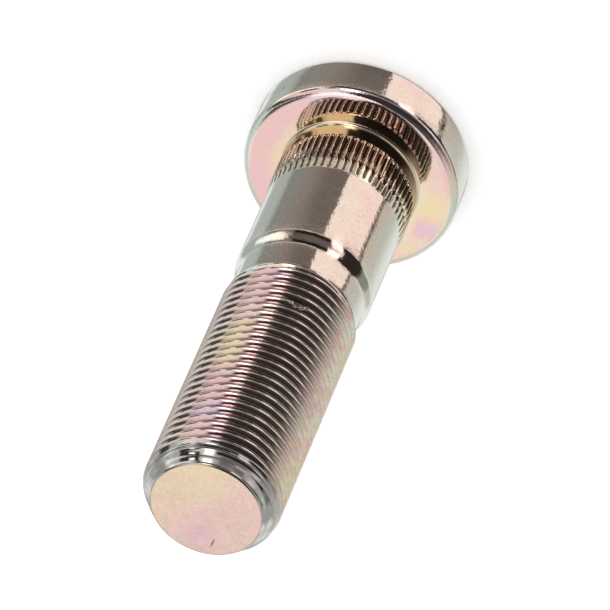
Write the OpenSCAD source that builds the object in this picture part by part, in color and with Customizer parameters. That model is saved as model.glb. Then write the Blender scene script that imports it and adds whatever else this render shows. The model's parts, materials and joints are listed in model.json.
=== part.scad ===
// Press-in wheel stud: a round flat head, a knurled collar, a plain shank, a rolled neck and a fine metric
// thread, forged and rolled as one piece. It stands on the outer face of its head, with the thread upwards.

/* [Overall] */
// Length from the outer face of the head to the end of the thread
overall_len = 75; // [74:0.5:120]

/* [Head] */
// Diameter of the head
head_d = 29; // [26:0.5:40]
// Thickness of the head, from its outer face to the seat
head_t = 6.5; // [4:0.1:7]
// Rounding of the rim on the side of the seat
rim_r = 1; // [0.3:0.1:1.6]
// Rounding of the rim on the side of the outer face
face_edge_r = 0.6; // [0.2:0.1:1.6]
// Fillet between the seat and the collar
seat_fillet_r = 0.5; // [0.2:0.1:1]

/* [Knurled collar] */
// Diameter over the crests of the teeth
knurl_d = 18.6; // [18.5:0.1:19]
// Diameter at the bottom of the grooves between the teeth
knurl_root_d = 17.8; // [17.6:0.1:17.9]
// Number of teeth round the collar
knurl_teeth = 60; // [36:1:62]
// Length of the teeth along the shank
knurl_len = 7; // [5:0.5:12]
// Plain ring between the seat and the teeth
knurl_gap = 2.5; // [1.6:0.1:4]
// Tapered lead-in at the shank end of the teeth
lead_in_len = 2.4; // [1:0.1:3.5]
// Angle between the two flanks of a groove
groove_deg = 90; // [80:1:92]

/* [Shank] */
// Diameter of the plain shank
shank_d = 18.22; // [18.2:0.01:18.3]
// Length from the seat to the shoulder
shank_len = 23.1; // [19:0.1:25]
// Length of the slope from the shank down to the neck
shoulder_len = 1.5; // [0.5:0.1:2]
// Diameter of the neck, the blank that the thread is rolled on
neck_d = 17; // [16.6:0.1:17.4]

/* [Thread] */
// Outer diameter of the thread
thread_d = 17.9; // [17.7:0.05:17.9]
// Pitch of the thread, the distance between two of its grooves
pitch = 1.5; // [1:0.25:2]
// Length of the thread with its point
thread_len = 39; // [20:0.5:40]
// Diameter of the flat end
end_d = 14.7; // [12:0.1:15.5]
// Length of the tapered point
point_len = 3; // [1.5:0.1:5]

/* [Hidden] */
round_fn = 96;
// Straight stretches that stand for each rounded edge
arc_steps = 6;
head_r = head_d / 2;
shank_r = shank_d / 2;
neck_r = neck_d / 2;
thread_r = thread_d / 2;
knurl_r = knurl_d / 2;
root_r = knurl_root_d / 2;
knurl_z = head_t + knurl_gap;
knurl_end_z = knurl_z + knurl_len;
shank_end_z = head_t + shank_len;
thread_z = overall_len - thread_len;
// The teeth rise from the plain ring on a short slope
tooth_rise = 0.25;
// How far a groove takes to run out, at the head and at the lead-in
runout_head = 0.4;
runout_shank = 1.4;
// Plain edge that is left beyond the end of each groove
runout_clear = 0.12;
// Clear space that a cutter has outside the teeth, and inside the bottom of a groove
cutter_clear = 0.2;
root_clear = 0.1;
// Metric thread form: flanks at 30 degrees to the flat across the axis, a crest an eighth of the pitch wide,
// and a depth of 0.6134 of the pitch
flank_deg = 30;
crest_w = pitch / 8;
thread_depth = 0.6134 * pitch;
// Lengths over which the grooves fade out at the end, before the point and on it
fade_before = 3.4;
fade_on_point = 1.6;
// The shallowest groove that is still rolled
least_groove = 0.05;
// Outside of the threaded part before it is rolled, each point a height and a radius
thread_outline = [
    [thread_z, neck_r],
    [thread_z + thread_r - neck_r, thread_r],
    [overall_len - point_len, thread_r],
    [overall_len, end_d / 2]];

// Points on an arc of the profile, from one angle to another
function arc(x, z, r, from, to) =
    [for (i = [0:arc_steps]) let (a = from + (to - from) * i / arc_steps) [x + r * cos(a), z + r * sin(a)]];

// Half of the width of a thread groove at a radius
function groove_half_w(r) = (pitch - crest_w) / 2 - (thread_r - r) * tan(flank_deg);

// Depth of a thread groove at a height
function groove_depth(z) =
    let (fade_end = overall_len - point_len + fade_on_point)
    thread_depth * min(1, (fade_end - z) / (fade_before + fade_on_point));

// The thread's grooves, each as its height, the radius of its bottom and half of its width outside
function thread_grooves() = [
    for (z = [thread_z + pitch / 2 : pitch : overall_len])
        let (outer = lookup(z, thread_outline), bottom = thread_r - groove_depth(z))
        if (bottom < outer - least_groove) [z, bottom, groove_half_w(outer)]];

// The four corners of a groove, from its lower edge to its upper one
function groove_corners(groove) =
    let (
        low = groove[0] - groove[2],
        high = groove[0] + groove[2],
        half_bottom = groove_half_w(thread_r - thread_depth))
    [[lookup(low, thread_outline), low],
     [groove[1], groove[0] - half_bottom],
     [groove[1], groove[0] + half_bottom],
     [lookup(high, thread_outline), high]];

// The section of the threaded part, one groove after another with what stays of the outline between them
function thread_profile() =
    let (grooves = thread_grooves(), n = len(grooves))
    [for (i = [0:n])
        let (
            low = i == 0 ? thread_z : grooves[i - 1][0] + grooves[i - 1][2],
            high = i == n ? overall_len : grooves[i][0] - grooves[i][2])
        each concat(
            [for (p = thread_outline) if (p[0] >= low && p[0] <= high) [p[1], p[0]]],
            i == n ? [] : groove_corners(grooves[i]))];

// Half of the section through the axis, with no teeth. Each turn of the thread is a ring, not a helix
function blank_profile() = concat(
    [[0, 0]],
    arc(head_r - face_edge_r, face_edge_r, face_edge_r, -90, 0),
    arc(head_r - rim_r, head_t - rim_r, rim_r, 0, 90),
    arc(shank_r + seat_fillet_r, head_t + seat_fillet_r, seat_fillet_r, 270, 180),
    [[shank_r, knurl_z - tooth_rise],
     [knurl_r, knurl_z],
     [knurl_r, knurl_end_z - lead_in_len],
     [shank_r, knurl_end_z],
     [shank_r, shank_end_z],
     [neck_r, shank_end_z + shoulder_len]],
    thread_profile(),
    [[0, overall_len]]);

// Where a straight line through two points of the section, each as [radius, height], crosses a radius
function height_at(r, a, b) = a[1] + (r - a[0]) * (b[1] - a[1]) / (b[0] - a[0]);

// Where the knurling tool reaches, so that each groove runs out at both ends
module knurl_reach() {
    inner = root_r - root_clear;
    outer = knurl_r + cutter_clear;
    head_out = [shank_r, knurl_z - tooth_rise + runout_clear];
    head_full = [root_r, head_out[1] + runout_head];
    shank_out = [shank_r, knurl_end_z - runout_clear];
    shank_full = [root_r, shank_out[1] - runout_shank];
    rotate_extrude($fn = round_fn)
        polygon([
            [outer, height_at(outer, head_out, head_full)],
            [inner, height_at(inner, head_out, head_full)],
            [inner, height_at(inner, shank_out, shank_full)],
            [outer, height_at(outer, shank_out, shank_full)]]);
}

// The V between two teeth, all round the collar
module knurl_grooves() {
    depth = knurl_r + 2 * cutter_clear - root_r;
    half_w = depth * tan(groove_deg / 2);
    intersection() {
        translate([0, 0, head_t])
            linear_extrude(shank_len)
                for (i = [0:knurl_teeth - 1])
                    rotate(360 * i / knurl_teeth)
                        polygon([
                            [root_r, 0],
                            [root_r + depth, half_w],
                            [root_r + depth, -half_w]]);
        knurl_reach();
    }
}

module stud() {
    color("darkkhaki")
        difference() {
            rotate_extrude($fn = round_fn) polygon(blank_profile());
            knurl_grooves();
        }
}

stud();
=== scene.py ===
"""A press-in wheel stud, forged, rolled, zinc plated and passivated, dressed around its packed solid."""

import json
import math

import bmesh
import bpy
from bpy.props import FloatProperty, FloatVectorProperty, IntProperty, PointerProperty
from bpy.types import Operator, Panel, PropertyGroup
from mathutils import Matrix, Vector


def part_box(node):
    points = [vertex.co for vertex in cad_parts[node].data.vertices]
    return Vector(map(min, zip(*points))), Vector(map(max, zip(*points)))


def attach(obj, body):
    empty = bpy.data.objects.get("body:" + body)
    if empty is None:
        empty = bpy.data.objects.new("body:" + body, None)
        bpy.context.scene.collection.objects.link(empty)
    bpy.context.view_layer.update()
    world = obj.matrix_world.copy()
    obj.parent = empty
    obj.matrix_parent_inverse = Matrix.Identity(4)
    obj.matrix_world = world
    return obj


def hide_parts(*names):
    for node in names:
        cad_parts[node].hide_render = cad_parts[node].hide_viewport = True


bl_info = {
    "name": "Wheel Stud",
    "version": (1, 0, 0),
    "blender": (4, 5, 0),
    "location": "View3D > Sidebar > Wheel Stud",
    "description": "Makes a press-in wheel stud with a rolled knurl and thread and a yellow passivate",
    "category": "Add Mesh",
}

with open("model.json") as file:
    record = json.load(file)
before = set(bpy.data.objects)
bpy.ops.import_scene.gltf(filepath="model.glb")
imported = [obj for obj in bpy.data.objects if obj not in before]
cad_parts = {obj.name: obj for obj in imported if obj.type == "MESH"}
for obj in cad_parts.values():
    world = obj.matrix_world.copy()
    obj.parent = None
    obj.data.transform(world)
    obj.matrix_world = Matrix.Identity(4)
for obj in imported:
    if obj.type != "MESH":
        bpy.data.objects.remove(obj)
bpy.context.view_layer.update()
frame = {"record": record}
NODE = "stud"
BODY = "root"
PIECE = "wheel_stud"
PLATE = "yellow_passivate"
MM = 0.001
# Vertices nearer to each other than this are one
MERGE = 0.001 * MM
MOUNTS = {mount["name"]: mount for mount in frame["record"]["mounts"]}
STUD_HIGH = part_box(NODE)[1]
BANDS = {"blank": "stud_blank", "knurl": "stud_knurl", "thread": "stud_thread"}


def mount_radius(name):
    """Radius of a round mount, in metres."""
    return MOUNTS[name]["dims"]["r_mm"] * MM


def size(name, about, default, low, high):
    """A length that a user may change, in metres."""
    return FloatProperty(
        name=name, description=about, default=default, min=low, max=high,
        precision=5, subtype="DISTANCE", unit="LENGTH",
    )


def angle(name, about, degrees):
    """An angle that a user may change."""
    return FloatProperty(
        name=name, description=about, default=math.radians(degrees), subtype="ANGLE", unit="ROTATION",
    )


def share(name, about, default):
    """A number from 0 to 1 that a user may change."""
    return FloatProperty(name=name, description=about, default=default, min=0.0, max=1.0, subtype="FACTOR")


def count(name, about, default, low, high):
    """A whole number that a user may change."""
    return IntProperty(name=name, description=about, default=default, min=low, max=high)


def colour(name, about, default):
    """A colour that a user may change, in linear light."""
    return FloatVectorProperty(
        name=name, description=about, default=default, size=3, min=0.0, max=1.0, subtype="COLOR",
    )


class StudSizes(PropertyGroup):
    """Sizes of the forged blank."""

    length: size("Length", "From the head's outer face to the end", STUD_HIGH.z, 0.05, 0.15)
    head_radius: size("Head radius", "Radius of the head", STUD_HIGH.x, 0.01, 0.03)
    seat_height: size("Seat height", "Thickness of the head", MOUNTS["seat"]["pos_m"][2], 0.003, 0.01)
    face_edge: size("Face edge", "Rounding of the head's outer edge", 0.6 * MM, 0.0001, 0.002)
    rim: size("Rim", "Height of the rounding between side and seat", 1.0 * MM, 0.0001, 0.002)
    rim_width: size("Rim width", "How far that rounding reaches onto the seat", 1.5 * MM, 0.0001, 0.003)
    seat_fillet: size("Seat fillet", "Fillet between the seat and the ring", 0.5 * MM, 0.0001, 0.001)
    shank_radius: size("Shank radius", "Radius of the plain shank", mount_radius("shank"), 0.008, 0.01)
    shank_length: size("Shank length", "From the seat to the shoulder", 23.1 * MM, 0.019, 0.025)
    shoulder: size("Shoulder", "Length of the slope from the shank to the neck", 1.5 * MM, 0.0005, 0.002)
    neck_radius: size("Neck radius", "Radius of the neck under the thread", 8.5 * MM, 0.008, 0.009)
    end_radius: size("End radius", "Radius of the flat end", 7.35 * MM, 0.006, 0.008)
    end_edge: size("End edge", "Rounding of the edge of the flat end", 0.35 * MM, 0.0001, 0.001)
    columns: count("Columns", "Faces round the blank and the thread", 240, 24, 360)


class KnurlSizes(PropertyGroup):
    """Sizes of the rolled knurl."""

    teeth: count("Teeth", "Teeth round the collar", 60, 30, 90)
    crest_radius: size("Crest radius", "Radius over the teeth", mount_radius("knurl"), 0.009, 0.01)
    root_radius: size("Root radius", "Radius at the bottom of the grooves", 8.9 * MM, 0.008, 0.009)
    gap: size("Gap", "Plain ring between the seat and the teeth", 2.5 * MM, 0.001, 0.004)
    length: size("Length", "Length of the teeth along the shank", 7.0 * MM, 0.005, 0.012)
    rise: size("Rise", "Length of the slope at the head end of a tooth", 0.25 * MM, 0.0001, 0.001)
    lead_in: size("Lead-in", "Length of the taper at the shank end of a tooth", 2.4 * MM, 0.001, 0.0035)
    groove_angle: angle("Groove angle", "Angle between the flanks of a groove", 90)
    first_tooth: angle("First tooth", "Azimuth of the first tooth, from the X axis", 0)


class ThreadSizes(PropertyGroup):
    """Sizes of the rolled thread."""

    pitch: size("Pitch", "Distance from one turn to the next", 1.5 * MM, 0.001, 0.002)
    radius: size("Radius", "Outer radius of the thread", mount_radius("thread"), 0.008, 0.01)
    length: size("Length", "From the neck to the end, with the point", 39.0 * MM, 0.02, 0.04)
    point: size("Point", "Length of the tapered point", 3.0 * MM, 0.001, 0.005)
    first_groove: size("First groove", "Height of a groove above the X axis", 35.25 * MM, 0.03, 0.04)


class PlateColours(PropertyGroup):
    """Colours that the passivate shows as its film grows thicker."""

    lavender: colour("Lavender", "Thinnest film", (0.76, 0.56, 0.70))
    pink: colour("Pink", "Thin film", (0.84, 0.54, 0.51))
    cream: colour("Cream", "Film of the plain shank", (0.85, 0.69, 0.56))
    pale: colour("Pale", "Film between cream and green", (0.82, 0.77, 0.65))
    green: colour("Green", "Thick film", (0.76, 0.80, 0.69))
    blue: colour("Blue", "Thickest film", (0.72, 0.84, 0.82))
    gold: colour("Gold", "Patches where the bath stood longest", (0.84, 0.72, 0.42))
    roughness: share("Roughness", "Roughness of the smooth shank", 0.055)


class StageLook(PropertyGroup):
    """The floor, the light and the camera."""

    lens: FloatProperty(name="Lens", description="Focal length in mm", default=413.1, min=20, max=1000)
    distance: size("Distance", "From the camera to the point it looks at", 0.8924, 0.1, 5)
    azimuth: angle("Azimuth", "Direction of the camera round the stud", 0.91)
    elevation: angle("Elevation", "Height of the camera above the horizon", 48.745)
    roll: angle("Roll", "Turn of the camera about its line of sight", -156.588)
    aim: FloatVectorProperty(
        name="Aim", description="Point the camera looks at", default=(-1.182 * MM, 0, 32.58 * MM),
        size=3, subtype="TRANSLATION", unit="LENGTH",
    )
    floor: colour("Floor", "Colour of the floor", (1.0, 1.0, 1.0))


def settings(name):
    """The settings group with that name."""
    return getattr(bpy.context.scene, name)


def opaque(shade):
    """A colour with its alpha, or the socket that gives it."""
    return shade if isinstance(shade, Value) else tuple(shade)[:3] + (1.0,)


class Value:
    """A number socket that Python's operators work on. Each operator adds the Math node that does it."""

    def __init__(self, sheet, socket):
        self.sheet = sheet
        self.socket = socket

    def __add__(self, other):
        return self.sheet.maths("ADD", self, other)

    __radd__ = __add__

    def __sub__(self, other):
        return self.sheet.maths("SUBTRACT", self, other)

    def __rsub__(self, other):
        return self.sheet.maths("SUBTRACT", other, self)

    def __mul__(self, other):
        return self.sheet.maths("MULTIPLY", self, other)

    __rmul__ = __mul__

    def __truediv__(self, other):
        return self.sheet.maths("DIVIDE", self, other)

    def __rtruediv__(self, other):
        return self.sheet.maths("DIVIDE", other, self)

    def __pow__(self, other):
        return self.sheet.maths("POWER", self, other)

    def __neg__(self):
        return self * -1.0

    def __abs__(self):
        return self.sheet.maths("ABSOLUTE", self)

    def least(self, other, soft=0.0):
        """The smaller of two values, rounded over a distance where they cross."""
        if soft:
            return self.sheet.maths("SMOOTH_MIN", self, other, soft)
        return self.sheet.maths("MINIMUM", self, other)

    def most(self, other, soft=0.0):
        """The larger of two values, rounded over a distance where they cross."""
        if soft:
            return self.sheet.maths("SMOOTH_MAX", self, other, soft)
        return self.sheet.maths("MAXIMUM", self, other)

    def step(self, low, high):
        """0 up to low, 1 from high, and a smooth rise between."""
        return self.sheet.value(
            "ShaderNodeMapRange", {"interpolation_type": "SMOOTHSTEP"},
            {"Value": self, "From Min": low, "From Max": high},
        )

    def window(self, rise, fall):
        """1 between two smooth steps, each given by its start and its end, and 0 outside them."""
        return self.step(*rise) * (1.0 - self.step(*fall))


class Sheet:
    """A node tree, with the one method that adds a node to it."""

    def __init__(self, tree):
        self.tree = tree
        self.start = None

    @classmethod
    def of_geometry(cls, name, inputs):
        """An empty Geometry Nodes tree with those named inputs, each a socket type and a default."""
        tree = bpy.data.node_groups.new(name, "GeometryNodeTree")
        for title, (kind, default) in inputs.items():
            socket = tree.interface.new_socket(title, in_out="INPUT", socket_type=kind)
            if default is not None:
                socket.default_value = default
        tree.interface.new_socket("Mesh", in_out="OUTPUT", socket_type="NodeSocketGeometry")
        sheet = cls(tree)
        sheet.start = sheet.node("NodeGroupInput")
        return sheet

    def node(self, kind, options=None, sockets=None):
        """Adds a node of a kind, with its options first and then the values or links of its sockets."""
        made = self.tree.nodes.new(kind)
        for name, value in (options or {}).items():
            if name == "stops":
                self.set_stops(made.color_ramp.elements, value)
            else:
                setattr(made, name, value)
        for key, value in (sockets or {}).items():
            source = getattr(value, "socket", value)
            if isinstance(source, bpy.types.NodeSocket):
                self.tree.links.new(source, made.inputs[key])
            else:
                made.inputs[key].default_value = source
        return made

    @staticmethod
    def set_stops(elements, stops):
        """Gives a colour ramp these stops, each a place and a colour."""
        while len(elements) > 1:
            elements.remove(elements[-1])
        for index, (place, shade) in enumerate(stops):
            element = elements[0] if index == 0 else elements.new(place)
            element.position = place
            element.color = tuple(shade) + (1.0,)

    def value(self, kind, options=None, sockets=None, output=0):
        """Adds a node, and gives one of its outputs as a value."""
        return Value(self, self.node(kind, options, sockets).outputs[output])

    def maths(self, operation, *terms):
        """Adds a Math node."""
        return self.value("ShaderNodeMath", {"operation": operation}, dict(enumerate(terms)))

    def given(self, title):
        """One of the tree's own inputs."""
        return Value(self, self.start.outputs[title])

    def split(self, vector):
        """The three parts of a vector."""
        node = self.node("ShaderNodeSeparateXYZ", None, {0: vector})
        return [Value(self, socket) for socket in node.outputs]

    def vector(self, x, y, z):
        """A vector from its three parts."""
        return self.value("ShaderNodeCombineXYZ", None, {0: x, 1: y, 2: z})

    def round_axis(self, radius, azimuth, height):
        """The place at a radius, an azimuth and a height."""
        ahead = radius * self.maths("COSINE", azimuth)
        return self.vector(ahead, radius * self.maths("SINE", azimuth), height)

    def blend(self, part, first, second):
        """A colour between two others."""
        return self.value(
            "ShaderNodeMix", {"data_type": "RGBA", "clamp_factor": True},
            {0: part, 6: opaque(first), 7: opaque(second)}, 2,
        )

    def noise(self, place, scale, detail=2.0, rough=0.5):
        """Noise from 0 to 1 over a vector in millimetres."""
        return self.value(
            "ShaderNodeTexNoise", {"noise_dimensions": "3D"},
            {"Vector": place, "Scale": scale, "Detail": detail, "Roughness": rough},
        )


def shading(owner):
    """The node tree of a material or the world, emptied."""
    owner.use_nodes = True
    owner.node_tree.nodes.clear()
    return Sheet(owner.node_tree)


def mesh_of(bm, name):
    """A mesh with that name from what bmesh has built, which is then freed."""
    mesh = bpy.data.meshes.new(name)
    bm.to_mesh(mesh)
    bm.free()
    return mesh


def finish_tree(sheet, geometry):
    """Ends a tree: realize, merge what meets, smooth, give it its material."""
    real = sheet.node("GeometryNodeRealizeInstances", None, {"Geometry": geometry})
    merged = sheet.node(
        "GeometryNodeMergeByDistance", None, {"Geometry": real.outputs[0], "Distance": MERGE}
    )
    smooth = sheet.node("GeometryNodeSetShadeSmooth", None, {"Geometry": merged.outputs[0]})
    finished = sheet.node(
        "GeometryNodeSetMaterial", None,
        {"Geometry": smooth.outputs[0], "Material": sheet.given("Material")},
    )
    sheet.node("NodeGroupOutput", None, {"Mesh": finished.outputs[0]})


def run_tree(sheet, name, values):
    """Evaluates a tree once, with a value for each of its inputs, and keeps the result as a plain mesh."""
    holder = bpy.data.objects.new(name + "_source", bpy.data.meshes.new(name + "_source"))
    bpy.context.scene.collection.objects.link(holder)
    modifier = holder.modifiers.new("Nodes", "NODES")
    modifier.node_group = sheet.tree
    for item in sheet.tree.interface.items_tree:
        if item.item_type == "SOCKET" and item.in_out == "INPUT":
            modifier[item.identifier] = values[item.name]
    evaluated = holder.evaluated_get(bpy.context.evaluated_depsgraph_get())
    mesh = bpy.data.meshes.new_from_object(evaluated)
    mesh.name = name
    holder.modifiers.remove(modifier)
    bpy.data.objects.remove(holder)
    bpy.context.scene.collection.objects.link(bpy.data.objects.new(name, mesh))
    if not mesh.polygons:
        raise RuntimeError(name + " came out empty")


# Faces across and along one tooth of the knurl, and how much they crowd where the form bends
KNURL_SIDES = 8
KNURL_ROWS = 28
SIDE_CROWD = 0.035
ROW_CROWD = 0.55
# Plain wall at the two ends of the knurl's own mesh, and the gap to the blank that stitch() fills
KNURL_PLAIN = 0.15 * MM
STITCH = 0.2 * MM
# Plain edge beyond the end of a groove, its run-out at the head, and its depth and run-out on the lead-in
GROOVE_CLEAR = 0.12 * MM
RUNOUT_HEAD = 0.4 * MM
SHALLOW = 0.18 * MM
RUNOUT_SHANK = 0.5 * MM
# Where the grooves turn shallow, before and after the start of the lead-in
TAPER_BEFORE = 0.4 * MM
TAPER_AFTER = 0.6 * MM
# Roundings at the bottom of a groove, along its crests and at a tooth's two ends
ROOT_ROUND = 0.03 * MM
CREST_ROUND = 0.04 * MM
END_ROUND = 0.05 * MM


def knurl_ends(stud, knurl):
    """Heights at which the knurl's own mesh starts and ends."""
    start = stud.seat_height + knurl.gap - knurl.rise - KNURL_PLAIN
    return start, stud.seat_height + knurl.gap + knurl.length + KNURL_PLAIN


def knurl_tree():
    """One tooth between the middles of two grooves, set round the collar."""
    number = ("NodeSocketFloat", 0.0)
    sheet = Sheet.of_geometry("Rolled Knurl", {
        "Teeth": ("NodeSocketInt", 60), "Start": number, "End": number, "Tooth Start": number,
        "Tooth End": number, "Rise": number, "Lead In": number, "Ring Radius": number,
        "Crest Radius": number, "Root Radius": number, "Groove Angle": number, "First Tooth": number,
        "Material": ("NodeSocketMaterial", None),
    })
    given = sheet.given
    patch = sheet.node("GeometryNodeMeshGrid", None, {
        "Size X": 1.0, "Size Y": 1.0, "Vertices X": KNURL_SIDES + 1, "Vertices Y": KNURL_ROWS + 1,
    })
    across, along, _ = sheet.split(sheet.node("GeometryNodeInputPosition").outputs[0])
    turn = 2 * math.pi
    # Columns crowd at the crest's two edges, rows at the two ends
    across = across + sheet.maths("SINE", across * (2 * turn)) * SIDE_CROWD
    along = along + 0.5
    along = along - sheet.maths("SINE", along * turn) * (ROW_CROWD / turn)
    height = given("Start") + along * (given("End") - given("Start"))
    ring = given("Ring Radius")
    crest = given("Crest Radius")
    root = given("Root Radius")
    tooth_start = given("Tooth Start")
    tooth_end = given("Tooth End")
    rise = ring + (height - tooth_start + given("Rise")) * (crest - ring) / given("Rise")
    taper = ring + (tooth_end - height) * (crest - ring) / given("Lead In")
    land = rise.least(crest, END_ROUND).least(taper, END_ROUND).most(ring)
    head_out = tooth_start - given("Rise") + GROOVE_CLEAR
    shank_out = tooth_end - GROOVE_CLEAR
    floor = root.most(ring - (height - head_out) * (ring - root) / RUNOUT_HEAD, ROOT_ROUND)
    # On the lead-in the grooves are only shallow lines, which run out at its end
    shallow = land - SHALLOW * (1.0 - height.step(shank_out - RUNOUT_SHANK, shank_out))
    taper_start = tooth_end - given("Lead In")
    on_taper = height.step(taper_start - TAPER_BEFORE, taper_start + TAPER_AFTER)
    floor = floor + (shallow - floor) * on_taper
    step = turn / given("Teeth")
    off_middle = (0.5 - abs(across)) * step * crest
    flank = sheet.maths("SQRT", off_middle * off_middle + ROOT_ROUND * ROOT_ROUND) - ROOT_ROUND
    groove = floor + flank / sheet.maths("TANGENT", given("Groove Angle") / 2)
    radius = land.least(groove, CREST_ROUND)
    place = sheet.round_axis(radius, across * step, height)
    tooth = sheet.node("GeometryNodeSetPosition", None, {"Geometry": patch.outputs[0], "Position": place})
    points = sheet.node("GeometryNodePoints", None, {"Count": given("Teeth")})
    index = sheet.value("GeometryNodeInputIndex")
    rotation = sheet.value(
        "FunctionNodeAxisAngleToRotation", None,
        {"Axis": (0.0, 0.0, 1.0), "Angle": index * step + given("First Tooth")},
    )
    teeth = sheet.node("GeometryNodeInstanceOnPoints", None, {
        "Points": points.outputs[0], "Instance": tooth.outputs[0], "Rotation": rotation,
    })
    finish_tree(sheet, teeth.outputs[0])
    return sheet


# Rows of faces in one turn of the thread, and how much they crowd where the form is round
THREAD_POINTS = 10
TURN_CROWD = 0.62
# Metric thread form, in shares of the pitch: its depth, and half of a groove's width at its top and bottom
THREAD_DEPTH = 0.6134
THREAD_FLANK = math.radians(30)
GROOVE_HALF = 0.4375
ROOT_HALF = GROOVE_HALF - THREAD_DEPTH * math.tan(THREAD_FLANK)
THREAD_ROOT_ROUND = 0.06 * MM
THREAD_CREST_ROUND = 0.07 * MM
# How far below the thread its own mesh starts, how far up that mesh stays plain, and the length over which
# the turns then rise from the neck
THREAD_UNDER = 1.1 * MM
THREAD_ENTRY = 0.3 * MM
THREAD_RISE = 1.5 * MM
# Where the thread's depth fades out, before the point and on it, and how the point bulges
THREAD_FADE = 1.6 * MM
POINT_FADE = 2.6 * MM
POINT_BULGE = 1.25


def thread_ends(stud, thread):
    """Heights at which the thread's own mesh starts and ends."""
    start = stud.length - thread.length - THREAD_UNDER
    return start, stud.length - stud.end_edge


def thread_tree():
    """A grid that follows the helix, so that crests and roots run along its rows."""
    number = ("NodeSocketFloat", 0.0)
    sheet = Sheet.of_geometry("Rolled Thread", {
        "Columns": ("NodeSocketInt", 240), "Start": number, "End": number, "Pitch": number,
        "Radius": number, "Neck Radius": number, "Point Start": number, "Point Radius": number,
        "Groove Height": number, "Material": ("NodeSocketMaterial", None),
    })
    given = sheet.given
    pitch = given("Pitch")
    start = given("Start")
    end = given("End")
    turns = sheet.maths("CEIL", (end - start) / pitch) + 2
    rows = turns * THREAD_POINTS
    # The half keeps the number of vertices right when it is cut to a whole one
    grid = sheet.node("GeometryNodeMeshGrid", None, {
        "Size X": 1.0, "Size Y": 1.0, "Vertices X": given("Columns") + 1, "Vertices Y": rows + 1.5,
    })
    around, along, _ = sheet.split(sheet.node("GeometryNodeInputPosition").outputs[0])
    around = around + 0.5
    along = (along + 0.5) * turns
    full = 2 * math.pi
    # Rows crowd at the crest and at the root, where the form is round
    along = along - sheet.maths("SINE", along * (2 * full)) * (TURN_CROWD / (2 * full))
    before = sheet.maths("CEIL", (given("Groove Height") - start) / pitch) + 1
    free_height = given("Groove Height") + (along + around - before) * pitch
    height = free_height.most(start).least(end)
    from_groove = abs(sheet.maths("FRACT", along + 0.5) - 0.5)
    depth = THREAD_DEPTH * pitch
    flank = (from_groove - ROOT_HALF) * pitch / math.tan(THREAD_FLANK)
    form = flank.most(0.0, THREAD_ROOT_ROUND).least(depth, THREAD_CREST_ROUND) / depth
    crest = given("Radius")
    point_start = given("Point Start")
    slope = ((height - point_start) / (end - point_start)).most(0.0)
    cone = crest - (crest - given("Point Radius")) * slope ** POINT_BULGE
    fade = 1.0 - height.step(point_start - THREAD_FADE, point_start + POINT_FADE)
    rolled = cone - depth * (1.0 - form) * fade
    # Rolling raises the crests above the neck and presses the roots into it
    neck = given("Neck Radius")
    entry = height.step(start + THREAD_ENTRY, start + THREAD_ENTRY + THREAD_RISE)
    radius = neck + (rolled - neck) * entry
    place = sheet.round_axis(radius, around * full, height)
    band = sheet.node("GeometryNodeSetPosition", None, {"Geometry": grid.outputs[0], "Position": place})
    finish_tree(sheet, band.outputs[0])
    return sheet


def arc(radius, height, bend, first, last, steps, width=None):
    """Points of an arc of the section, each a radius and a height, from one angle to another in degrees."""
    angles = [math.radians(first + (last - first) * step / steps) for step in range(steps + 1)]
    return [(radius + (width or bend) * math.cos(turn), height + bend * math.sin(turn)) for turn in angles]


def between(first, last, steps):
    """Points inside a straight stretch of the section, without its two ends."""
    shares = [step / steps for step in range(1, steps)]
    return [tuple(a + (b - a) * part for a, b in zip(first, last)) for part in shares]


def head_section(stud, knurl):
    """The section of the head and the ring, from the middle of the outer face to the knurl."""
    edge = arc(stud.head_radius - stud.face_edge, stud.face_edge, stud.face_edge, -90, 0, 6)
    rim = arc(
        stud.head_radius - stud.rim_width, stud.seat_height - stud.rim, stud.rim, 0, 90, 12, stud.rim_width
    )
    fillet = arc(
        stud.shank_radius + stud.seat_fillet, stud.seat_height + stud.seat_fillet, stud.seat_fillet,
        270, 180, 6,
    )
    knurl_start = (stud.shank_radius, knurl_ends(stud, knurl)[0] - STITCH)
    section = [(0.0, 0.0)] + between((0.0, 0.0), edge[0], 3) + edge
    section += between(edge[-1], rim[0], 3) + rim
    section += between(rim[-1], fillet[0], 4) + fillet
    return section + between(fillet[-1], knurl_start, 3) + [knurl_start]


# The shoulder's soft slope reaches this much of its length past both of its ends, in so many steps
SHOULDER_SPREAD = 0.25
SHOULDER_STEPS = 12


def shank_section(stud, knurl, thread):
    """The section of the shank, the shoulder and the neck, from the knurl to the thread."""
    top = (stud.shank_radius, knurl_ends(stud, knurl)[1] + STITCH)
    slope_start = stud.seat_height + stud.shank_length - SHOULDER_SPREAD * stud.shoulder
    slope_end = stud.seat_height + stud.shank_length + (1 + SHOULDER_SPREAD) * stud.shoulder
    shoulder = []
    for step in range(SHOULDER_STEPS + 1):
        part = step / SHOULDER_STEPS
        drop = part * part * (3 - 2 * part)
        radius = stud.shank_radius + (stud.neck_radius - stud.shank_radius) * drop
        shoulder.append((radius, slope_start + (slope_end - slope_start) * part))
    bottom = (stud.neck_radius, thread_ends(stud, thread)[0])
    section = [top] + between(top, shoulder[0], 6) + shoulder
    return section + between(shoulder[-1], bottom, 4) + [bottom]


def end_section(stud):
    """The section of the flat end, from the thread to its middle."""
    edge = arc(stud.end_radius - stud.end_edge, stud.length - stud.end_edge, stud.end_edge, 0, 90, 5)
    return edge + between(edge[-1], (0.0, stud.length), 4) + [(0.0, stud.length)]


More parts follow.
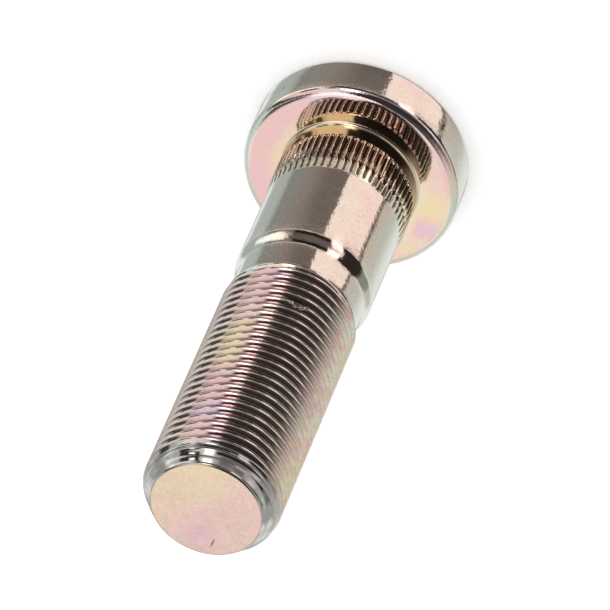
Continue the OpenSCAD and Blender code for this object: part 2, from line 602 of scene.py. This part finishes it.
def turned(bm, section, columns):
    """Turns a section into rings of faces, and closes it with a fan where it meets the axis."""
    rings = []
    for radius, height in section:
        if radius < MERGE:
            rings.append([bm.verts.new((0.0, 0.0, height))])
            continue
        turns = [2 * math.pi * column / columns for column in range(columns)]
        rings.append([
            bm.verts.new((radius * math.cos(turn), radius * math.sin(turn), height)) for turn in turns
        ])
    for low, high in zip(rings, rings[1:]):
        for here in range(columns):
            there = (here + 1) % columns
            corners = [low[here % len(low)], low[there % len(low)]]
            corners += [high[there % len(high)], high[here % len(high)]]
            bm.faces.new(list(dict.fromkeys(corners)))


def ring_at(bm, height):
    """The vertices of the open ring at a height, in order round the axis."""
    found = [vert for vert in bm.verts if vert.is_boundary and abs(vert.co.z - height) < MERGE]
    return sorted(found, key=lambda vert: math.atan2(vert.co.y, vert.co.x) % (2 * math.pi))


def stitch(bm, coarse, fine):
    """Joins two rings, one with a whole number of times the vertices of the other."""
    ratio = len(fine) // len(coarse)
    if ratio * len(coarse) != len(fine):
        raise RuntimeError("the rings don't match: %d and %d" % (len(coarse), len(fine)))
    first = min(range(len(fine)), key=lambda index: (fine[index].co - coarse[0].co).length)
    for index, here in enumerate(coarse):
        there = coarse[(index + 1) % len(coarse)]
        run = [fine[(first + index * ratio + step) % len(fine)] for step in range(ratio + 1)]
        half = ratio // 2
        for step in range(ratio):
            corner = here if step < half else there
            bm.faces.new([corner, run[step], run[step + 1]])
        bm.faces.new([here, there, run[half]])


class WHEELSTUD_OT_blank(Operator):
    """Turn the head, the ring, the shank, the shoulder, the neck and the flat end"""

    bl_idname = "wheelstud.blank"
    bl_label = "Forge Blank"

    def execute(self, context):
        stud = settings("stud_sizes")
        knurl = settings("stud_knurl")
        thread = settings("stud_thread")
        bm = bmesh.new()
        turned(bm, head_section(stud, knurl), stud.columns)
        turned(bm, shank_section(stud, knurl, thread), stud.columns)
        turned(bm, end_section(stud), stud.columns)
        blank = bpy.data.objects.new(BANDS["blank"], mesh_of(bm, BANDS["blank"]))
        context.scene.collection.objects.link(blank)
        return {"FINISHED"}


class WHEELSTUD_OT_knurl(Operator):
    """Roll the teeth of the collar"""

    bl_idname = "wheelstud.knurl"
    bl_label = "Roll Knurl"

    def execute(self, context):
        stud = settings("stud_sizes")
        knurl = settings("stud_knurl")
        start, end = knurl_ends(stud, knurl)
        tooth_start = stud.seat_height + knurl.gap
        run_tree(knurl_tree(), BANDS["knurl"], {
            "Teeth": knurl.teeth, "Start": start, "End": end, "Tooth Start": tooth_start,
            "Tooth End": tooth_start + knurl.length, "Rise": knurl.rise, "Lead In": knurl.lead_in,
            "Ring Radius": stud.shank_radius, "Crest Radius": knurl.crest_radius,
            "Root Radius": knurl.root_radius, "Groove Angle": knurl.groove_angle,
            "First Tooth": knurl.first_tooth, "Material": plate(),
        })
        return {"FINISHED"}


class WHEELSTUD_OT_thread(Operator):
    """Roll the thread and its point"""

    bl_idname = "wheelstud.thread"
    bl_label = "Roll Thread"

    def execute(self, context):
        stud = settings("stud_sizes")
        thread = settings("stud_thread")
        start, end = thread_ends(stud, thread)
        run_tree(thread_tree(), BANDS["thread"], {
            "Columns": stud.columns, "Start": start, "End": end, "Pitch": thread.pitch,
            "Radius": thread.radius, "Neck Radius": stud.neck_radius,
            "Point Start": stud.length - thread.point, "Point Radius": stud.end_radius,
            "Groove Height": thread.first_groove, "Material": plate(),
        })
        return {"FINISHED"}


class WHEELSTUD_OT_stud(Operator):
    """Join the bands into one closed stud that stands for the packed solid"""

    bl_idname = "wheelstud.stud"
    bl_label = "Join Stud"

    def execute(self, context):
        stud = settings("stud_sizes")
        knurl = settings("stud_knurl")
        bm = bmesh.new()
        for name in BANDS.values():
            band = bpy.data.objects[name]
            bm.from_mesh(band.data)
            bpy.data.objects.remove(band)
        bmesh.ops.remove_doubles(bm, verts=bm.verts, dist=MERGE)
        start, end = knurl_ends(stud, knurl)
        stitch(bm, ring_at(bm, start - STITCH), ring_at(bm, start))
        stitch(bm, ring_at(bm, end + STITCH), ring_at(bm, end))
        bmesh.ops.recalc_face_normals(bm, faces=bm.faces)
        open_edges = sum(1 for edge in bm.edges if not edge.is_manifold)
        if open_edges:
            raise RuntimeError("the stud isn't closed: %d open edges" % open_edges)
        for face in bm.faces:
            face.smooth = True
        mesh = mesh_of(bm, PIECE)
        mesh.materials.append(plate())
        piece = bpy.data.objects.new(PIECE, mesh)
        context.scene.collection.objects.link(piece)
        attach(piece, BODY)
        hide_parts(NODE)
        return {"FINISHED"}


# Colours of the plating where it isn't a clean film, and painted shade, in linear light
# Painted shade in the grooves of the thread and the knurl
GROOVE_SHADE = (0.06, 0.05, 0.045)
# Painted shade on the ring between the seat and the teeth
RING_SHADE = (0.12, 0.10, 0.08)
BARE_ZINC = (0.74, 0.72, 0.71)
POINT_STAIN = (0.16, 0.15, 0.15)
BROWN_MOTTLE = (0.60, 0.47, 0.38)
ROSE_MOTTLE = (0.62, 0.44, 0.43)
# Painted shade in the dents and the scratch
DENT_SHADE = (0.06, 0.05, 0.05)
GREY_SPECK = (0.45, 0.40, 0.34)
# The share of the thickest film at which each colour of the film is pure
FILM_STOPS = (0.0, 0.22, 0.42, 0.60, 0.78, 1.0)
# Stains on the seat and on the flat end, each a place across the axis and a reach, in millimetres
SEAT_GOLD = ((-11.5, -1.2), 3.4)
SEAT_YELLOW = ((9.0, 0.5), 2.6)
SEAT_ORANGE = ((-10.3, 6.7), 3.0)
SEAT_MAGENTA = ((-12.2, 2.2), 2.6)
END_LAVENDER = ((-0.4, 4.5), 2.5)
# Heights on the thread of a golden belt, as its two soft edges, and of the gold that sets in above it
GOLD_BELT = ((46.0, 49.5), (54.5, 58.5))
GOLD_ABOVE = (58.0, 68.0)
# Radii on the seat between which the tint by the ring ends, and the soft edge of the flat end's rosy half
NEAR_RING = (9.6, 11.4)
ROSE_EDGE = (-7.0, 1.0)
# Share of the thickest film that each part has where nothing stains it
SHANK_FILM = 0.38
RING_FILM = 0.42
SEAT_FILM = 0.26
END_FILM = 0.30
THREAD_FILM = 0.30
# Heights of what makes the surface uneven, in millimetres
STREAK_HEIGHT = 0.002
WAVE_HEIGHT = 0.02
PEEL_HEIGHT = 0.010
GRAIN_HEIGHT = 0.001
END_HEIGHT = 0.03
# Dents and scratches from handling, each a place on the surface, its reach along X, Y and Z and its depth,
# all in millimetres. Painted shade darkens their hollows
DENTS = (
    ((-8.2, -11.95, 3.3), (0.75, 0.6, 1.7), 0.05),
    ((-0.2, -8.9, 43.1), (1.9, 0.8, 0.55), 0.16),
    ((-8.3, -3.1, 56.0), (0.6, 0.6, 0.5), 0.12),
    ((-8.2, -3.3, 51.3), (0.5, 0.5, 0.4), 0.08),
    ((12.6, -7.2, 3.4), (0.4, 0.4, 0.4), 0.08),
    ((-2.45, 4.6, 75.0), (0.14, 1.1, 0.4), 0.05),
)


class Surface:
    """Where a point of the stud lies, in millimetres, and the noises and masks that its finish shares."""

    def __init__(self, sheet):
        self.sheet = sheet
        self.stud = settings("stud_sizes")
        self.knurl = settings("stud_knurl")
        self.thread = settings("stud_thread")
        object_place = sheet.value("ShaderNodeTexCoord", None, None, 3)
        self.place = sheet.value(
            "ShaderNodeVectorMath", {"operation": "SCALE"}, {0: object_place, "Scale": 1 / MM}
        )
        self.x, self.y, self.z = sheet.split(self.place)
        self.across = sheet.maths("SQRT", self.x * self.x + self.y * self.y + 0.0001)
        # East is 1 on the side of +X and -1 opposite, south is 1 on the camera's side
        self.east = self.x / self.across
        self.south = self.y / self.across * -1.0
        self.seat_top = self.stud.seat_height / MM
        self.ring_end = self.seat_top + self.knurl.gap / MM + 0.1
        self.rim_start = (self.stud.head_radius - self.stud.rim_width) / MM
        self.thread_start = (self.stud.length - self.thread.length) / MM
        self.point_start = (self.stud.length - self.thread.point) / MM
        self.end_top = self.stud.length / MM
        self.drift = self.noise(0.16) - 0.5
        self.patches = self.noise(0.55) - 0.5
        self.fine = self.noise(1.6, 4.0, 0.7) - 0.5
        self.peel = self.noise(2.6)
        low = self.seat_top
        self.on_seat = self.z.window((low - 0.15, low - 0.02), (low + 0.05, low + 0.2))
        self.on_ring = self.z.window((low + 0.05, low + 0.3), (self.ring_end, self.ring_end + 0.4))
        self.near_ring = 1.0 - self.across.step(*NEAR_RING)
        self.on_thread = self.z.window(
            (self.thread_start, self.thread_start + 1.0), (self.end_top - 3.0, self.end_top - 2.5)
        )
        # The flat end as the film sees it, with some of its rounded edge, and the flat end alone
        self.on_end = self.z.step(self.end_top - 0.05, self.end_top - 0.01)
        self.end_face = self.z.step(self.end_top - 0.02, self.end_top - 0.005)

    def noise(self, scale, detail=2.0, rough=0.5):
        """Noise from 0 to 1 over the stud, with so many spots in a millimetre."""
        return self.sheet.noise(self.place, scale, detail, rough)


def plate():
    """The material of the whole stud: bright zinc under a film whose colour changes with its thickness."""
    found = bpy.data.materials.get(PLATE)
    if found:
        return found
    material = bpy.data.materials.new(PLATE)
    sheet = shading(material)
    spot = Surface(sheet)
    dents, dent_shade = dent_marks(spot)
    rough, relief = unevenness(spot, dents)
    bump = sheet.node("ShaderNodeBump", None, {"Strength": 1.0, "Distance": MM, "Height": relief})
    shader = sheet.node("ShaderNodeBsdfPrincipled", None, {
        "Base Color": plate_colour(spot, dent_shade), "Metallic": 1.0, "Roughness": rough,
        "Normal": bump.outputs[0],
    })
    sheet.node("ShaderNodeOutputMaterial", None, {"Surface": shader.outputs[0]})
    return material


def plate_colour(spot, dent_shade):
    """The colour of the film, and over it, one by one, painted shade and what stains and wears it."""
    sheet = spot.sheet
    colours = settings("stud_plate")
    shades = [colours.lavender, colours.pink, colours.cream, colours.pale, colours.green, colours.blue]
    stops = [(place, tuple(shade)) for place, shade in zip(FILM_STOPS, shades)]
    film = sheet.value("ShaderNodeValToRGB", {"stops": stops}, {0: film_and_sheen(spot)})
    low = spot.seat_top
    # Painted shade on the ring, all round but its east side, and lighter far to the west
    ring_shade = spot.z.window((low + 0.2, low + 0.5), (low + 2.2, low + 2.5))
    ring_shade = ring_shade * (1.0 - spot.east.step(0.05, 0.35)) * (1.0 - (-spot.east).step(0.8, 0.98) * 0.7)
    on_point = spot.z.step(spot.point_start - 1.2, spot.point_start + 0.5) * (1.0 - spot.end_face)
    rose = spot.patches.step(-0.12, 0.14) * spot.y.step(*ROSE_EDGE)
    clean_seat = spot.z.window((low - 0.2, low), (low + 0.05, low + 0.3)) * 0.3
    layers = (
        (film_gold(spot), colours.gold),
        (painted_groove_shade(spot) * 0.9, GROOVE_SHADE),
        (ring_shade * 0.85, RING_SHADE),
        (worn_parts(spot) * (0.7 + (spot.peel - 0.5) * 1.2), BARE_ZINC),
        (on_point * (spot.patches + 0.1).step(-0.15, 0.15) * 0.45, POINT_STAIN),
        (spot.end_face * spot.noise(4.5, 3.0, 0.7).step(0.48, 0.72) * 0.5, BROWN_MOTTLE),
        (spot.end_face * rose * 0.35, ROSE_MOTTLE),
        (dent_shade * 0.8, DENT_SHADE),
        (spot.noise(3.8, 3.0, 0.65).step(0.46, 0.72) * (0.42 - clean_seat), GREY_SPECK),
    )
    for part, layer in layers:
        film = sheet.blend(part, film, layer)
    return film


def unevenness(spot, dents):
    """The roughness, and the height of the surface in millimetres with its streaks, waves and dents."""
    sheet = spot.sheet
    grain = spot.noise(6.0)
    rough = grain * 0.06 + settings("stud_plate").roughness - 0.03 + spot.end_face * 0.16
    streak = sheet.noise(sheet.vector(spot.east * 30.0, spot.south * 30.0, spot.z * 0.35), 1.0, 3.0, 0.6)
    relief = streak * STREAK_HEIGHT + spot.noise(1.1) * WAVE_HEIGHT
    relief = relief + spot.peel * PEEL_HEIGHT + grain * GRAIN_HEIGHT
    # The seat is flat, and the thread is rolled smooth
    low = spot.seat_top
    calm = (1.0 - spot.z.step(low + 2.3, low + 2.8)) * spot.z.step(low - 0.3, low) * 0.75
    calm = calm + spot.z.step(spot.thread_start, spot.thread_start + 1.0) * (1.0 - spot.end_face) * 0.7
    relief = relief * (1.0 - calm) - dents
    return rough, relief + spot.noise(3.5, 4.0, 0.7) * spot.end_face * END_HEIGHT


def dent_marks(spot):
    """How deep the dents are, in millimetres, and how much painted shade darkens them, from 0 to 1."""
    sheet = spot.sheet
    wander = (spot.peel - 0.5) * 0.7
    depth = 0.0
    dent_shade = 0.0
    for centre, reach, deepest in DENTS:
        away = sheet.value("ShaderNodeVectorMath", {"operation": "SUBTRACT"}, {0: spot.place, 1: centre})
        away = sheet.value("ShaderNodeVectorMath", {"operation": "DIVIDE"}, {0: away, 1: reach})
        away = sheet.value("ShaderNodeVectorMath", {"operation": "LENGTH"}, {0: away}, 1)
        inside = 1.0 - (away + wander).step(0.2, 1.0)
        depth = inside * deepest + depth
        dent_shade = inside.most(dent_shade)
    return depth, dent_shade


def worn_parts(spot):
    """1 where the film is worn to plain zinc: crests and east side of the thread, point and rim, else 0."""
    z = spot.z
    on_thread = z.window(
        (spot.thread_start + 0.5, spot.thread_start + 1.5), (spot.end_top - 0.05, spot.end_top - 0.02)
    )
    radius = spot.thread.radius / MM
    crest = spot.across.step(radius - 0.16, radius - 0.03) * (1.0 - (-spot.east).step(0.6, 0.9))
    side = spot.east.step(0.72, 0.95) * 0.7
    point = z.step(spot.point_start - 1.0, spot.point_start + 0.4) * 0.9
    rim = z.step(spot.seat_top - 1.0, spot.seat_top - 0.6)
    rim = rim * spot.across.step(spot.rim_start, spot.rim_start + 0.3)
    rim = rim * (1.0 - abs(spot.east).step(0.5, 0.9)) * 0.7
    return (on_thread * crest.most(side).most(point)).most(rim)


def painted_groove_shade(spot):
    """1 where shade is painted at the bottom of the grooves of the thread and the knurl, else 0."""
    z, east, across = spot.z, spot.east, spot.across
    on_thread = z.window(
        (spot.thread_start + 0.5, spot.thread_start + 1.5), (spot.end_top - 3.0, spot.end_top - 0.6)
    )
    depth = THREAD_DEPTH * spot.thread.pitch / MM
    crest = spot.thread.radius / MM
    # The painted shade reaches furthest up the thread's flanks where the stud faces the camera and directly
    # away
    middle = (1.0 - east.step(0.12, 0.35)) * (1.0 - (-east).step(0.35, 0.7))
    rise = (middle * 0.4 + (-east).step(0.5, 0.8) * 0.2 + east.step(0.15, 0.4) * 0.2) * depth
    deep_thread = 1.0 - across.step(crest - 0.98 * depth, rise + (crest - 0.55 * depth))
    low = spot.seat_top + spot.knurl.gap / MM
    end = low + spot.knurl.length / MM
    taper = end - spot.knurl.lead_in / MM
    on_knurl = z.window((low - 0.25, low), (end - 0.2, end))
    top = spot.knurl.crest_radius / MM
    slope = (spot.knurl.crest_radius - spot.stud.shank_radius) / spot.knurl.lead_in
    below = top - (z - taper).most(0.0) * slope - across
    on_taper = z.step(taper - 0.2, taper + 0.6)
    deep_knurl = below.step(0.22, 0.36) * (1.0 - on_taper) + below.step(0.015, 0.06) * on_taper
    return on_thread * deep_thread + on_knurl * deep_knurl


def stain(spot, centre, reach, wander=1.0):
    """1 near a place on a flat face and 0 beyond its reach, with an edge that wanders."""
    aside = spot.x - centre[0]
    ahead = spot.y - centre[1]
    away = spot.sheet.maths("SQRT", aside * aside + ahead * ahead) + spot.patches * wander * reach * 1.6
    return 1.0 - away.step(0.0, reach * 1.15)


def film_and_sheen(spot):
    """The film's thickness, 0 to 1, thin on seat and thread, and a painted green sheen on the two sides."""
    east, low = spot.east, spot.seat_top
    # Painted sheen: the sides turned away from the camera get the green of a thicker film
    grazing_sheen = abs(east).step(0.45, 0.92)
    round_side = grazing_sheen * 0.42 + SHANK_FILM + east * 0.05
    seat_film = SEAT_FILM + spot.near_ring * 0.1 - east * 0.06
    seat_film = seat_film * (1.0 - stain(spot, *SEAT_MAGENTA) * 0.9)
    film = round_side + (seat_film - round_side) * spot.on_seat
    on_rim = spot.z.window((low - 1.1, low - 0.7), (low + 0.02, low + 0.1))
    on_rim = on_rim * spot.across.step(spot.rim_start - 0.2, spot.rim_start + 0.1)
    on_rim = on_rim * spot.south.step(0.1, 0.8)
    film = film + (RING_FILM - film) * spot.on_ring - film * on_rim * 0.55
    end_film = END_FILM - stain(spot, *END_LAVENDER, 0.6) * 0.22
    film = film + (end_film - film) * spot.on_end
    rolled = THREAD_FILM - east.step(0.1, 0.4) * 0.1 + grazing_sheen * 0.12 + spot.drift * 0.5
    rolled = rolled + spot.patches * (-east).step(0.35, 0.85) * 1.3 + (-east).step(0.75, 0.98) * 0.12
    film = film + (rolled - film) * spot.on_thread
    return film + spot.drift * 0.25 + spot.patches * 0.24 + spot.fine * (0.2 + spot.on_end * 0.3)


def film_gold(spot):
    """How golden the film is, from 0 to 1, on the thread, ring, teeth, seat and flat end."""
    z, east = spot.z, spot.east
    west_side = (-east).step(0.2, 0.8) * (0.15 + z.step(*GOLD_ABOVE) * 0.3)
    belt = z.window(*GOLD_BELT) * 0.75 * east.step(0.38, 0.55)
    gold = spot.on_thread * west_side.most(belt)
    gold = gold.most(spot.on_ring * (0.3 + east.step(0.1, 0.4) * 0.6))
    teeth_end = spot.ring_end + spot.knurl.length / MM
    on_teeth = z.window((spot.ring_end, spot.ring_end + 0.4), (teeth_end - 0.7, teeth_end - 0.1))
    gold = gold.most(on_teeth * (0.35 + spot.patches * 0.8))
    seat = stain(spot, *SEAT_GOLD).most(stain(spot, *SEAT_YELLOW) * 0.7)
    seat = seat.most(stain(spot, *SEAT_ORANGE) * 0.5).most(spot.near_ring * 0.35)
    gold = gold.most(spot.on_seat * seat)
    wandering = spot.patches + spot.fine * 1.6 + spot.drift
    end = (spot.x * 0.14 - spot.y * 0.09 + wandering).step(-0.2, 0.8) * 0.65
    return gold.most(spot.on_end * end)


def floor_material(shade):
    """A pale matt floor."""
    material = bpy.data.materials.new("floor")
    sheet = shading(material)
    shader = sheet.node("ShaderNodeBsdfDiffuse", None, {"Color": tuple(shade) + (1.0,)})
    sheet.node("ShaderNodeOutputMaterial", None, {"Surface": shader.outputs[0]})
    return material


# The light that matt surfaces get from every side, and what metal shows where no card stands
EVEN_LIGHT = 1.3
BACKDROP = 0.98
# Softboxes, cards and flags round the stud. Each has a name, a west and an east edge, a low and a high
# edge, the softness of its edges, all in degrees, and the brightness that metal shows of it. West and east
# are azimuths from the camera's side towards +X, low and high are above the horizon. Later cover earlier.
CARDS = (
    ("ceiling", -180, 180, 0, 90, 6, 0.72),
    ("far west", -182, -130, -90, -44, 14, 0.85),
    ("dim west", -122, -60, -90, -44, 22, 0.44),
    ("dim east", 103, 146, -90, -44, 8, 0.47),
    ("under", -182, 182, -91, -62, 5, 0.15),
    ("behind", 158, 202, -60, -10, 4, 0.6),
    ("table edge", -20, 106, -90, -42, 7, 0.28),
    ("table", -6, 48, -90, -42, 20, 0.15),
    ("warm reflector", -67, 3, -90, -44, 2, 1.08),
    ("edge of the warm reflector", -73, -66, -90, -42, 1.5, 0.22),
    ("front flag", -14, 48, -37, 10, 4, 0.14),
    ("black line flag", -50, 48, -34, -12, 4, 0.02),
    ("low front card", 2, 50, -43, -37, 1.5, 0.7),
    ("west shade", -125, -70, -30, 4, 6, 0.62),
    ("dark west shade", -96, -70, -30, 2, 6, 0.3),
    ("black flag", -72, -33, -45, 0, 4, 0.03),
    ("narrow softbox", -30, -12, -45, -8, 3, 1.8),
    ("side shade", 76, 132, -44, 4, 6, 0.5),
    ("side gap", 44, 86, -37, -12, 4, 0.25),
    ("side card", 56, 99, -20, 3, 5, 1.35),
    ("west part of the overhead flag", -88, -30, 27, 91, 20, 0.05),
    ("overhead flag", -60, 36, 27, 91, 4, 0.04),
    ("left softbox", 37, 86, 20, 66, 4, 0.95),
    ("high flag", 30, 58, 59, 91, 4, 0.04),
    ("top softbox", 56, 160, 64, 91, 4, 1.5),
    ("rim flag", 115, 152, 40, 63, 3, 0.08),
    ("west high flag", -165, -60, 62, 91, 8, 0.08),
    ("front softbox", 21, 60, 10, 43, 5, 1.0),
    ("lamp", 24, 38, 14, 40, 4, 3.0),
    ("point flag", 44, 76, 5, 24, 3, 0.05),
    ("point lamp", 52, 60, 12, 19, 2, 2.2),
    ("gap", 95, 110, 10, 62, 3, 0.08),
    ("low softbox", -60, -42, 12, 26, 4, 1.0),
    ("dim part of the low softbox", -33, 12, 8, 26, 5, 0.25),
    ("back softbox", 140, 220, 28, 80, 12, 1.02),
)


def studio_world():
    """A pale studio. Matt surfaces get even light, the camera sees white, and metal mirrors the cards."""
    world = bpy.data.worlds.new("studio")
    sheet = shading(world)
    world.cycles.sampling_method = "NONE"
    x, y, z = sheet.split(sheet.value("ShaderNodeTexCoord"))
    azimuth = sheet.maths("ARCTAN2", x, y * -1.0) * math.degrees(1)
    elevation = sheet.maths("ARCSINE", z) * math.degrees(1)
    light = BACKDROP
    for _, west, east, low, high, soft, strength in CARDS:
        side = azimuth
        if east > 180:
            side = sheet.maths("WRAP", azimuth, 360.0, 0.0)
        inside = elevation.window((low - soft, low + soft), (high - soft, high + soft))
        if east - west < 360:
            inside = inside * side.window((west - soft, west + soft), (east - soft, east + soft))
        light = (strength - light) * inside + light
    path = sheet.node("ShaderNodeLightPath")
    glossy = Value(sheet, path.outputs["Is Glossy Ray"])
    strength = EVEN_LIGHT + (light - EVEN_LIGHT) * glossy
    background = sheet.node("ShaderNodeBackground", None, {"Color": (1, 1, 1, 1), "Strength": strength})
    sheet.node("ShaderNodeOutputWorld", None, {"Surface": background.outputs[0]})
    return world


# Half of the floor's width, in metres
FLOOR_HALF = 4.0


class WHEELSTUD_OT_stage(Operator):
    """Set the floor, the light and the camera"""

    bl_idname = "wheelstud.stage"
    bl_label = "Set Stage"

    def execute(self, context):
        look = settings("stud_stage")
        scene = context.scene
        scene.view_settings.view_transform = "Standard"
        self.add_floor(scene, look)
        self.add_camera(scene, look)
        scene.world = studio_world()
        return {"FINISHED"}

    @staticmethod
    def add_floor(scene, look):
        """A wide flat floor under the head."""
        bm = bmesh.new()
        corners = [(x * FLOOR_HALF, y * FLOOR_HALF, 0.0) for x, y in ((-1, -1), (1, -1), (1, 1), (-1, 1))]
        bm.faces.new([bm.verts.new(corner) for corner in corners])
        mesh = mesh_of(bm, "floor")
        mesh.materials.append(floor_material(look.floor))
        floor = bpy.data.objects.new("floor", mesh)
        scene.collection.objects.link(floor)
        floor.visible_glossy = False

    @staticmethod
    def add_camera(scene, look):
        """The camera, where the photograph was taken from."""
        back = Vector((
            math.sin(look.azimuth) * math.cos(look.elevation),
            -math.cos(look.azimuth) * math.cos(look.elevation),
            math.sin(look.elevation),
        ))
        level = Vector((math.cos(look.azimuth), math.sin(look.azimuth), 0.0))
        upright = back.cross(level)
        right = level * math.cos(look.roll) + upright * math.sin(look.roll)
        up = upright * math.cos(look.roll) - level * math.sin(look.roll)
        turn = Matrix((right, up, back)).transposed().to_4x4()
        data = bpy.data.cameras.new("camera")
        data.lens = look.lens
        data.clip_start = 0.05
        data.clip_end = 20
        camera = bpy.data.objects.new("camera", data)
        scene.collection.objects.link(camera)
        camera.matrix_world = Matrix.Translation(Vector(look.aim) + back * look.distance) @ turn
        scene.camera = camera


class WHEELSTUD_PT_panel(Panel):
    """The steps and the sizes of the stud"""

    bl_label = "Wheel Stud"
    bl_idname = "WHEELSTUD_PT_panel"
    bl_space_type = "VIEW_3D"
    bl_region_type = "UI"
    bl_category = "Wheel Stud"

    def draw(self, context):
        for operator in OPERATORS:
            self.layout.operator(operator.bl_idname)
        for name, group in GROUPS.items():
            box = self.layout.box()
            box.label(text=group.__doc__)
            for title in group.__annotations__:
                box.prop(getattr(context.scene, name), title)


GROUPS = {
    "stud_sizes": StudSizes,
    "stud_knurl": KnurlSizes,
    "stud_thread": ThreadSizes,
    "stud_plate": PlateColours,
    "stud_stage": StageLook,
}
OPERATORS = (
    WHEELSTUD_OT_blank,
    WHEELSTUD_OT_knurl,
    WHEELSTUD_OT_thread,
    WHEELSTUD_OT_stud,
    WHEELSTUD_OT_stage,
)
CLASSES = tuple(GROUPS.values()) + OPERATORS + (WHEELSTUD_PT_panel,)


def register():
    """Registers the classes and hangs the settings on the scene."""
    for cls in CLASSES:
        bpy.utils.register_class(cls)
    for name, group in GROUPS.items():
        setattr(bpy.types.Scene, name, PointerProperty(type=group))


def unregister():
    """Takes the settings and the classes away again."""
    for name in GROUPS:
        delattr(bpy.types.Scene, name)
    for cls in reversed(CLASSES):
        bpy.utils.unregister_class(cls)


def main():
    """Makes the stud and its stage."""
    register()
    bpy.ops.wheelstud.blank()
    bpy.ops.wheelstud.knurl()
    bpy.ops.wheelstud.thread()
    bpy.ops.wheelstud.stud()
    bpy.ops.wheelstud.stage()


if __name__ == "__main__":
    main()
